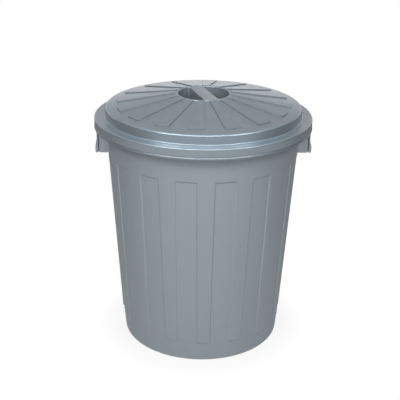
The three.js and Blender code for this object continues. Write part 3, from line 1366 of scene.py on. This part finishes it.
@dataclass(frozen=True)
class Surroundings:
    """What the object mirrors: a white backdrop behind it, a soft ceiling and a dim room in front.

    Directions are given by their parts along the axes: a height is the sine of an elevation. The
    two numbers of a fade are the heights at which a strength is 0 and full.

    Attributes:
        backdrop: Strength of the backdrop at the horizon.
        ceiling: Strength of the ceiling.
        ceiling_loss: Share of the ceiling's strength that is missing behind.
        middle: Distance from the middle plane at which front and back take over.
        turn: Width of each of these blends, to each side.
        glow: Strength of the pale band at the horizon in front.
        fill: Strength of the light that the matt share of a surface gets from all round.
        tint: Colour of what is mirrored in front and at the sides.
    """

    backdrop: float = 1.2
    backdrop_fade: tuple[float, float] = (0.56, 0.04)
    ceiling: float = 1.1
    ceiling_fade: tuple[float, float] = (0.3, 0.6)
    ceiling_loss: float = 0.55
    middle: float = 0.5
    turn: float = 0.15
    glow: float = 0.7
    glow_fade: tuple[float, float] = (0.25, 0.02)
    fill: float = 0.03
    tint: Colour = (0.6, 0.85, 1.0)

    def build(self) -> None:
        """Makes the world."""
        world = bpy.data.worlds.new("surroundings")
        bpy.context.scene.world = world
        world.use_nodes = True
        g = Graph(world.node_tree)
        ray = g.node("ShaderNodeTexCoord", output="Generated")
        along, height = g.part(ray, "Y"), g.part(ray, "Z")
        behind = along.ramp(self.middle - self.turn, self.middle + self.turn)
        ahead = along.ramp(self.turn - self.middle, -self.turn - self.middle)
        backdrop = self.backdrop * behind * height.ramp(*self.backdrop_fade)
        ceiling = self.ceiling * height.ramp(*self.ceiling_fade) * (1.0 - self.ceiling_loss * behind)
        glow = self.glow * ahead * height.ramp(*self.glow_fade)
        camera = g.node("ShaderNodeLightPath", output="Is Camera Ray")
        mirror = g.node("ShaderNodeLightPath", output="Is Glossy Ray")
        shown = camera + mirror * (backdrop + ceiling + glow) + (1.0 - camera - mirror) * self.fill
        colour = g.mix_colour(camera + behind, rgba(self.tint), WHITE)
        sky = g.node("ShaderNodeBackground", {}, {"Color": colour, "Strength": shown})
        g.node("ShaderNodeOutputWorld", {}, {"Surface": sky})


@dataclass(frozen=True)
class Floor:
    """A white floor that keeps a soft shadow close round the foot. Lengths in metres.

    Attributes:
        size: Length of its sides.
        shadow: Share of the real shadow that shows.
        shadow_fade: Distances from the axis at which that is 0 and full.
        mirror: Strength of the floor as the object mirrors it.
        ahead: Strength that it gains close in front of the object.
        beyond: Strength that it gains farther in front of the object.
        ahead_fade, beyond_fade: Places along Y at which these are 0 and full.
        grey: Grey of the floor where it is lit by the lamps.
        drop: How far it lies under the object.
    """

    size: float = 8.0
    shadow: float = 0.13
    shadow_fade: tuple[float, float] = (0.24, 0.165)
    mirror: float = 0.06
    ahead: float = 0.28
    ahead_fade: tuple[float, float] = (0.0, -0.5)
    beyond: float = 0.45
    beyond_fade: tuple[float, float] = (-1.3, -3.0)
    grey: float = 0.58
    drop: float = 0.0002

    def material(self) -> bpy.types.Material:
        """Builds the floor's material.

        Returns:
            A material that shows white to the camera and grey to the light.
        """
        made = bpy.data.materials.new("pale_floor")
        made.use_nodes = True
        g = Graph(made.node_tree)
        camera = g.node("ShaderNodeLightPath", output="Is Camera Ray")
        mirror = g.node("ShaderNodeLightPath", output="Is Glossy Ray")
        place = g.node("ShaderNodeTexCoord", output="Object")
        far = g.node("ShaderNodeVectorMath", {"operation": "LENGTH"}, {0: place}, "Value")
        near, along = far.ramp(*self.shadow_fade), g.part(place, "Y")
        gain = self.ahead * along.ramp(*self.ahead_fade) + self.beyond * along.ramp(*self.beyond_fade)
        share = camera * (1.0 - near * self.shadow) + mirror * (self.mirror + gain)
        matt = g.node("ShaderNodeBsdfDiffuse", {}, {"Color": rgba(WHITE[:3], self.grey)})
        glow = g.node("ShaderNodeEmission", {}, {"Color": WHITE, "Strength": 1.0})
        mix = g.node("ShaderNodeMixShader", {}, {0: share, 1: matt, 2: glow})
        g.node("ShaderNodeOutputMaterial", {}, {"Surface": mix})
        return made

    def build(self) -> None:
        """Adds the floor just under the object."""
        half = self.size / 2.0
        mesh = bpy.data.meshes.new("floor")
        corners = [(-half, -half, 0.0), (half, -half, 0.0), (half, half, 0.0), (-half, half, 0.0)]
        mesh.from_pydata(corners, [], [(0, 1, 2, 3)])
        mesh.materials.append(self.material())
        made = add_object("floor", mesh)
        made.location.z = -self.drop


@dataclass(frozen=True)
class Studio:
    """The surroundings, the floor and the lamps."""

    surroundings: Surroundings = Surroundings()
    floor: Floor = Floor()
    lamps: tuple[Softbox, ...] = (
        Softbox("left_light", azimuth=-43.0, elevation=39.0, distance=2.4, width=0.9, height=0.7, watts=25.5),
        Softbox("right_light", azimuth=43.0, elevation=39.0, distance=2.4, width=0.9, height=0.7, watts=19.5),
        Softbox("front_light", azimuth=-3.0, elevation=41.0, distance=2.3, width=1.6, height=0.9, watts=27.5),
        Softbox("top_light", azimuth=0.0, elevation=84.0, distance=2.0, width=1.5, height=0.2, watts=4.0),
    )

    def build(self) -> None:
        """Adds the world, the floor and the lights."""
        self.surroundings.build()
        self.floor.build()
        for lamp in self.lamps:
            lamp.build()
        bpy.context.scene.view_settings.view_transform = "Standard"


def main() -> None:
    """Builds every piece in order."""
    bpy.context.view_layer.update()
    tub = Tub()
    tub_material = TUB_PLASTIC.material()
    tub.build(tub_material)
    HandGrip(tub).build("grip_right", False, tub_material)
    HandGrip(tub).build("grip_left", True, tub_material)
    Lid(tub).build(LID_PLASTIC.material())
    Studio().build()
    Camera().build()


if __name__ == "__main__":
    main()
